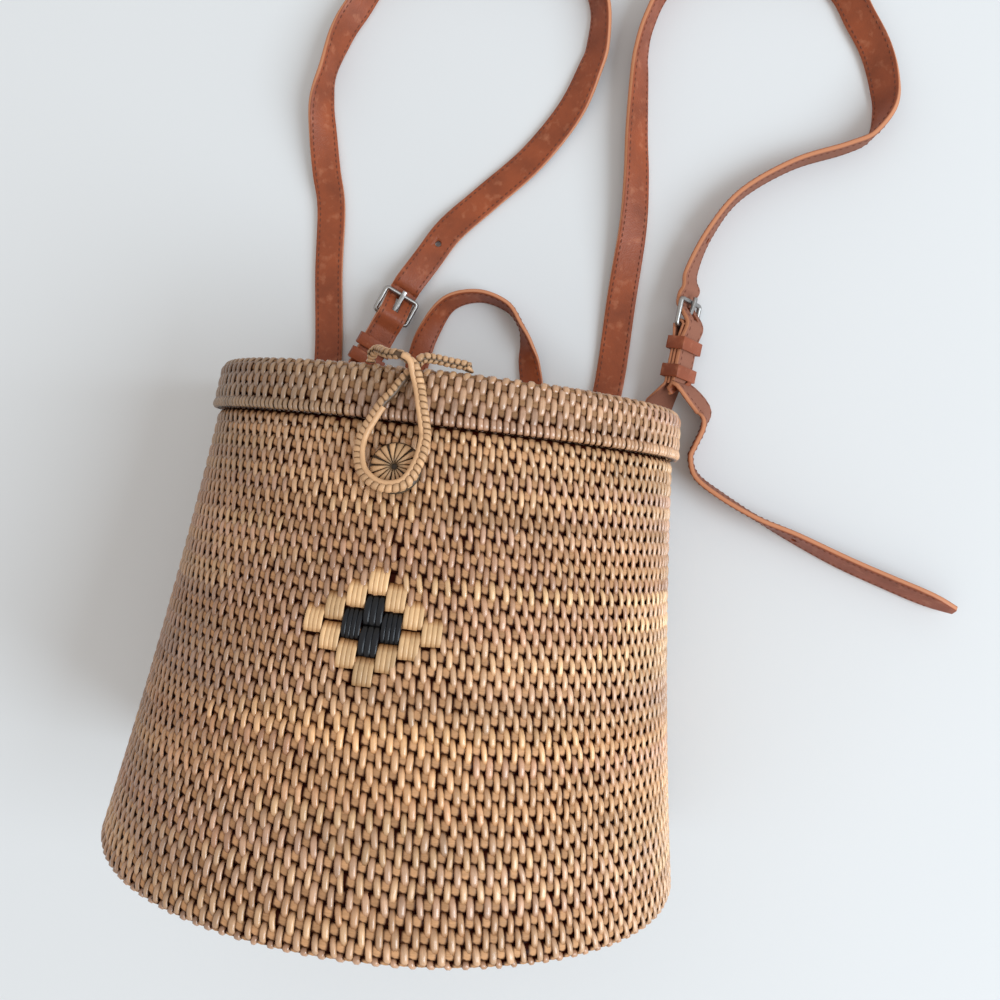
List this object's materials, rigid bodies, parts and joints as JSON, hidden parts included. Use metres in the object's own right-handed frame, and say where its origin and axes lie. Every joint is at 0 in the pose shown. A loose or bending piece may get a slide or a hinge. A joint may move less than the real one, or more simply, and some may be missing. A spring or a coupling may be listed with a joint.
{
  "type": "pack basket",
  "caption": "Woven reed pack basket with a flat back, hinged lid, loop and button closure, buckled leather shoulder straps and a short carrying handle.",
  "frame": {"origin": "centre of the flat back panel's outer face, halfway between the base and the lid's top", "axes": "+X from the basket's left side to its right side, +Y up the basket from its base to its lid, +Z out of the front; the basket lies on its back with -Z down"},
  "size_m": [0.3758, 0.4523, 0.1936],
  "materials": {
    "reed": "natural woven reed",
    "leather": "smooth tan grain with a suede reverse",
    "steel": "satin wire",
    "brass": "satin"
  },
  "bodies": {
    "basket": {"body_wall": "reed", "base_panel": "reed", "rim_collar": "reed", "hinge_lashing_left": "reed", "hinge_lashing_right": "reed", "button_head": "reed", "button_stem": "reed", "carry_handle": "leather", "shoulder_strap_left": "leather", "shoulder_strap_right": "leather", "anchor_strap_left": "leather", "anchor_strap_right": "leather", "keeper_fixed_left": "leather", "keeper_fixed_right": "leather", "rivet_handle_left": "brass", "rivet_handle_right": "brass", "rivet_strap_left": "brass", "rivet_strap_right": "brass", "rivet_anchor_left": "brass", "rivet_anchor_right": "brass"},
    "lid": {"lid_top": "reed", "lid_band": "reed"},
    "loop": {"closure_loop": "reed"},
    "buckle_left": {"buckle_frame_left": "steel"},
    "prong_left": {"buckle_prong_left": "steel"},
    "buckle_right": {"buckle_frame_right": "steel"},
    "prong_right": {"buckle_prong_right": "steel"},
    "keeper_left": {"keeper_sliding_left": "leather"},
    "keeper_right": {"keeper_sliding_right": "leather"}
  },
  "joints": [
    {"name": "lid_hinge", "type": "hinge", "parent": "basket", "child": "lid", "pos_m": [0, 0.104, 0], "axis": [-1, 0, 0], "range_deg": [0, 39], "deforming": ["hinge_lashing_left", "hinge_lashing_right"]},
    {"name": "loop_lift", "type": "hinge", "parent": "lid", "child": "loop", "pos_m": [0, 0.1064, 0.133], "axis": [-1, 0, 0], "range_deg": [0, 100], "deforming": ["closure_loop"]},
    {"name": "buckle_left_tilt", "type": "hinge", "parent": "basket", "child": "buckle_left", "pos_m": [-0.047, 0.1432, 0.0035], "axis": [0.8346, -0.3716, -0.4067], "range_deg": [0, 10]},
    {"name": "prong_left_tilt", "type": "hinge", "parent": "buckle_left", "child": "prong_left", "pos_m": [-0.047, 0.1432, 0.0035], "axis": [0.8346, -0.3716, -0.4067], "range_deg": [0, 10]},
    {"name": "buckle_right_tilt", "type": "hinge", "parent": "basket", "child": "buckle_right", "pos_m": [0.1055, 0.15129, 0.00625], "axis": [0.5279, -0.0462, -0.848], "range_deg": [0, 10]},
    {"name": "prong_right_tilt", "type": "hinge", "parent": "buckle_right", "child": "prong_right", "pos_m": [0.1055, 0.15129, 0.00625], "axis": [0.5279, -0.0462, -0.848], "range_deg": [0, 10]},
    {"name": "keeper_left_slide", "type": "slide", "parent": "basket", "child": "keeper_left", "axis": [0.4067, 0.9135, 0], "range_m": [-0.0018, 0.006]},
    {"name": "keeper_right_slide", "type": "slide", "parent": "basket", "child": "keeper_right", "axis": [0.0872, 0.9962, 0], "range_m": [-0.0072, 0]}
  ]
}
